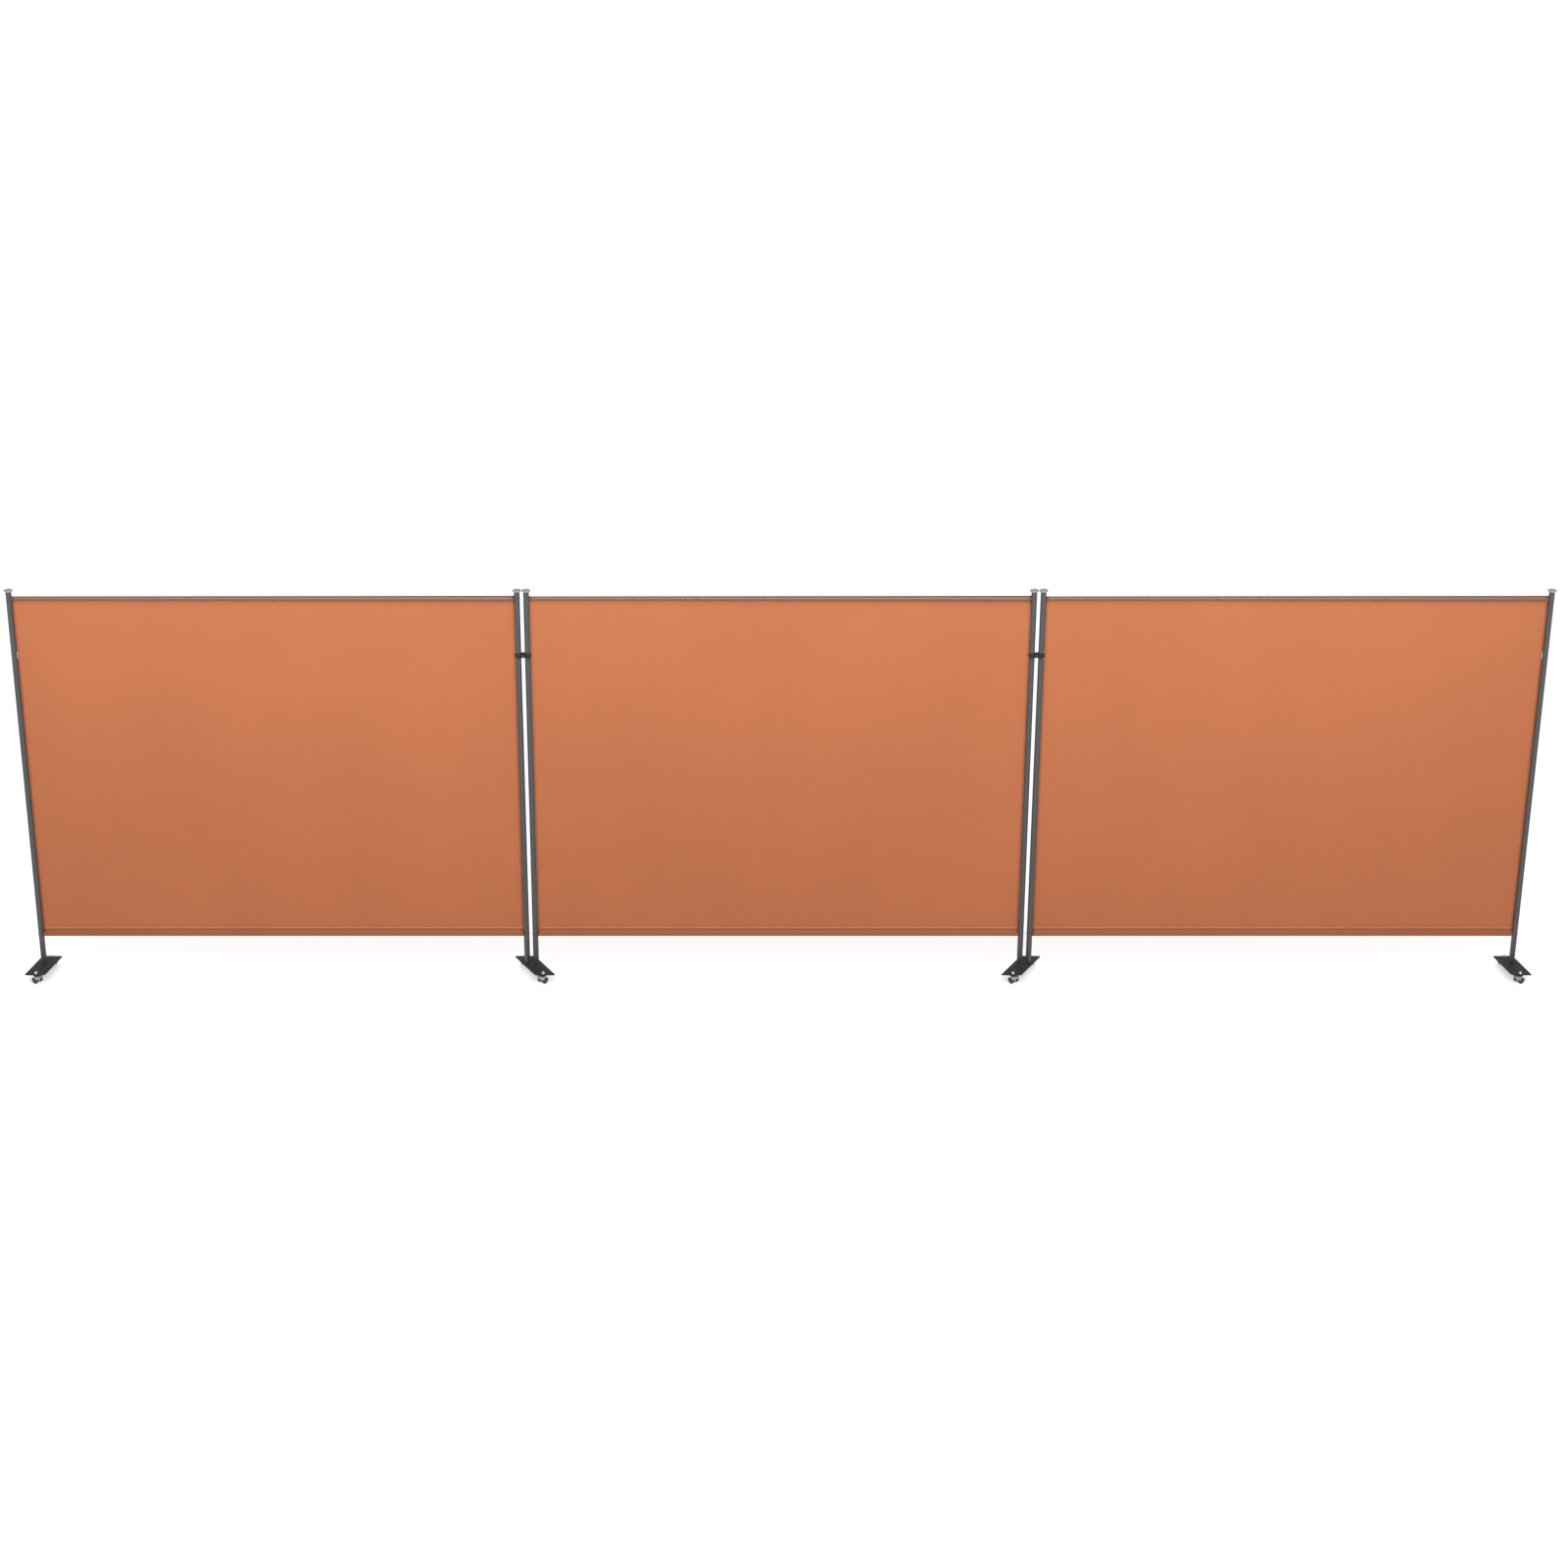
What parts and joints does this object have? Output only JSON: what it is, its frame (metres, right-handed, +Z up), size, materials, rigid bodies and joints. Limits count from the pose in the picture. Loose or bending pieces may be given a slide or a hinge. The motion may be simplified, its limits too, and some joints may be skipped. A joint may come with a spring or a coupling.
{
  "type": "welding curtain screen",
  "caption": "Free-standing welding screen: orange curtain panels on rods between round posts, hinged side by side, with slanted castered feet.",
  "frame": {"origin": "on the floor at the centre of the footprint, the casters being swivelled as modelled", "axes": "+X along the screen from the left panel to the right one, +Y from the front to the back, +Z up; the posts stand a little behind the origin"},
  "size_m": [7.4594, 0.2384, 2.034],
  "materials": {
    "post_paint": "satin",
    "plate_paint": "satin",
    "black_paint": "satin",
    "cap_plastic": "satin",
    "zinc_plate": "bright",
    "curtain_vinyl": "matte",
    "caster_hood_plastic": "satin",
    "caster_wheel_plastic": "matte"
  },
  "bodies": {
    "centre": {"centre_panel_left_post": "post_paint", "centre_panel_right_post": "post_paint", "centre_panel_post_caps": "cap_plastic", "centre_panel_top_rod": "post_paint", "centre_panel_bottom_rod": "post_paint", "centre_panel_rod_end_plugs": "zinc_plate", "centre_panel_rod_screws": "zinc_plate", "centre_panel_curtain": "curtain_vinyl", "centre_panel_foot_inserts": "zinc_plate", "centre_panel_foot_bolts": "zinc_plate", "left_inner_foot_plate": "plate_paint", "right_inner_foot_plate": "plate_paint", "inner_feet_caster_stems_and_nuts": "zinc_plate", "inner_feet_caster_collars": "black_paint", "clamp_front_halves": "black_paint", "clamp_back_halves": "black_paint", "clamp_bolts": "zinc_plate", "clamp_nuts": "zinc_plate"},
    "left_panel": {"left_panel_left_post": "post_paint", "left_panel_right_post": "post_paint", "left_panel_post_caps": "cap_plastic", "left_panel_top_rod": "post_paint", "left_panel_bottom_rod": "post_paint", "left_panel_rod_end_plugs": "zinc_plate", "left_panel_rod_screws": "zinc_plate", "left_panel_curtain": "curtain_vinyl", "left_panel_foot_inserts": "zinc_plate", "left_panel_foot_bolts": "zinc_plate", "left_end_foot_plate": "plate_paint", "left_end_foot_caster_stems_and_nuts": "zinc_plate", "left_end_foot_caster_collars": "black_paint"},
    "right_panel": {"right_panel_left_post": "post_paint", "right_panel_right_post": "post_paint", "right_panel_post_caps": "cap_plastic", "right_panel_top_rod": "post_paint", "right_panel_bottom_rod": "post_paint", "right_panel_rod_end_plugs": "zinc_plate", "right_panel_rod_screws": "zinc_plate", "right_panel_curtain": "curtain_vinyl", "right_panel_foot_inserts": "zinc_plate", "right_panel_foot_bolts": "zinc_plate", "right_end_foot_plate": "plate_paint", "right_end_foot_caster_stems_and_nuts": "zinc_plate", "right_end_foot_caster_collars": "black_paint"},
    "left_end_front_caster_swivel_body": {"left_end_front_caster_hood": "caster_hood_plastic"},
    "left_end_front_caster_wheel_body": {"left_end_front_caster_wheels": "caster_wheel_plastic"},
    "left_end_back_caster_swivel_body": {"left_end_back_caster_hood": "caster_hood_plastic"},
    "left_end_back_caster_wheel_body": {"left_end_back_caster_wheels": "caster_wheel_plastic"},
    "left_inner_front_caster_swivel_body": {"left_inner_front_caster_hood": "caster_hood_plastic"},
    "left_inner_front_caster_wheel_body": {"left_inner_front_caster_wheels": "caster_wheel_plastic"},
    "left_inner_back_caster_swivel_body": {"left_inner_back_caster_hood": "caster_hood_plastic"},
    "left_inner_back_caster_wheel_body": {"left_inner_back_caster_wheels": "caster_wheel_plastic"},
    "right_inner_front_caster_swivel_body": {"right_inner_front_caster_hood": "caster_hood_plastic"},
    "right_inner_front_caster_wheel_body": {"right_inner_front_caster_wheels": "caster_wheel_plastic"},
    "right_inner_back_caster_swivel_body": {"right_inner_back_caster_hood": "caster_hood_plastic"},
    "right_inner_back_caster_wheel_body": {"right_inner_back_caster_wheels": "caster_wheel_plastic"},
    "right_end_front_caster_swivel_body": {"right_end_front_caster_hood": "caster_hood_plastic"},
    "right_end_front_caster_wheel_body": {"right_end_front_caster_wheels": "caster_wheel_plastic"},
    "right_end_back_caster_swivel_body": {"right_end_back_caster_hood": "caster_hood_plastic"},
    "right_end_back_caster_wheel_body": {"right_end_back_caster_wheels": "caster_wheel_plastic"}
  },
  "joints": [
    {"name": "left_panel_fold", "type": "hinge", "parent": "centre", "child": "left_panel", "pos_m": [-1.249, 0.03722, 0.046], "axis": [0, 0, 1], "range_deg": [-110, 110]},
    {"name": "right_panel_fold", "type": "hinge", "parent": "centre", "child": "right_panel", "pos_m": [1.249, 0.03722, 0.046], "axis": [0, 0, 1], "range_deg": [-110, 110]},
    {"name": "left_end_front_caster_swivel", "type": "hinge", "parent": "left_panel", "child": "left_end_front_caster_swivel_body", "pos_m": [-3.67494, -0.08778, 0.03], "axis": [0, 0, 1], "continuous": true},
    {"name": "left_end_front_caster_roll", "type": "hinge", "parent": "left_end_front_caster_swivel_body", "child": "left_end_front_caster_wheel_body", "pos_m": [-3.67015, -0.09139, 0.016], "axis": [-0.6018, -0.7986, 0], "continuous": true},
    {"name": "left_end_back_caster_swivel", "type": "hinge", "parent": "left_panel", "child": "left_end_back_caster_swivel_body", "pos_m": [-3.63626, 0.09422, 0.03], "axis": [0, 0, 1], "continuous": true},
    {"name": "left_end_back_caster_roll", "type": "hinge", "parent": "left_end_back_caster_swivel_body", "child": "left_end_back_caster_wheel_body", "pos_m": [-3.63147, 0.09061, 0.016], "axis": [-0.6018, -0.7986, 0], "continuous": true},
    {"name": "left_inner_front_caster_swivel", "type": "hinge", "parent": "centre", "child": "left_inner_front_caster_swivel_body", "pos_m": [-1.16313, -0.08778, 0.03], "axis": [0, 0, 1], "continuous": true},
    {"name": "left_inner_front_caster_roll", "type": "hinge", "parent": "left_inner_front_caster_swivel_body", "child": "left_inner_front_caster_wheel_body", "pos_m": [-1.16683, -0.09251, 0.016], "axis": [-0.788, 0.6157, 0], "continuous": true},
    {"name": "left_inner_back_caster_swivel", "type": "hinge", "parent": "centre", "child": "left_inner_back_caster_swivel_body", "pos_m": [-1.25587, 0.09422, 0.03], "axis": [0, 0, 1], "continuous": true},
    {"name": "left_inner_back_caster_roll", "type": "hinge", "parent": "left_inner_back_caster_swivel_body", "child": "left_inner_back_caster_wheel_body", "pos_m": [-1.25956, 0.08949, 0.016], "axis": [-0.788, 0.6157, 0], "continuous": true},
    {"name": "right_inner_front_caster_swivel", "type": "hinge", "parent": "centre", "child": "right_inner_front_caster_swivel_body", "pos_m": [1.16313, -0.08778, 0.03], "axis": [0, 0, 1], "continuous": true},
    {"name": "right_inner_front_caster_roll", "type": "hinge", "parent": "right_inner_front_caster_swivel_body", "child": "right_inner_front_caster_wheel_body", "pos_m": [1.16683, -0.09251, 0.016], "axis": [-0.788, -0.6157, 0], "continuous": true},
    {"name": "right_inner_back_caster_swivel", "type": "hinge", "parent": "centre", "child": "right_inner_back_caster_swivel_body", "pos_m": [1.25587, 0.09422, 0.03], "axis": [0, 0, 1], "continuous": true},
    {"name": "right_inner_back_caster_roll", "type": "hinge", "parent": "right_inner_back_caster_swivel_body", "child": "right_inner_back_caster_wheel_body", "pos_m": [1.25956, 0.08949, 0.016], "axis": [-0.788, -0.6157, 0], "continuous": true},
    {"name": "right_end_front_caster_swivel", "type": "hinge", "parent": "right_panel", "child": "right_end_front_caster_swivel_body", "pos_m": [3.67494, -0.08778, 0.03], "axis": [0, 0, 1], "continuous": true},
    {"name": "right_end_front_caster_roll", "type": "hinge", "parent": "right_end_front_caster_swivel_body", "child": "right_end_front_caster_wheel_body", "pos_m": [3.67015, -0.09139, 0.016], "axis": [-0.6018, 0.7986, 0], "continuous": true},
    {"name": "right_end_back_caster_swivel", "type": "hinge", "parent": "right_panel", "child": "right_end_back_caster_swivel_body", "pos_m": [3.63626, 0.09422, 0.03], "axis": [0, 0, 1], "continuous": true},
    {"name": "right_end_back_caster_roll", "type": "hinge", "parent": "right_end_back_caster_swivel_body", "child": "right_end_back_caster_wheel_body", "pos_m": [3.63147, 0.09061, 0.016], "axis": [-0.6018, 0.7986, 0], "continuous": true}
  ]
}
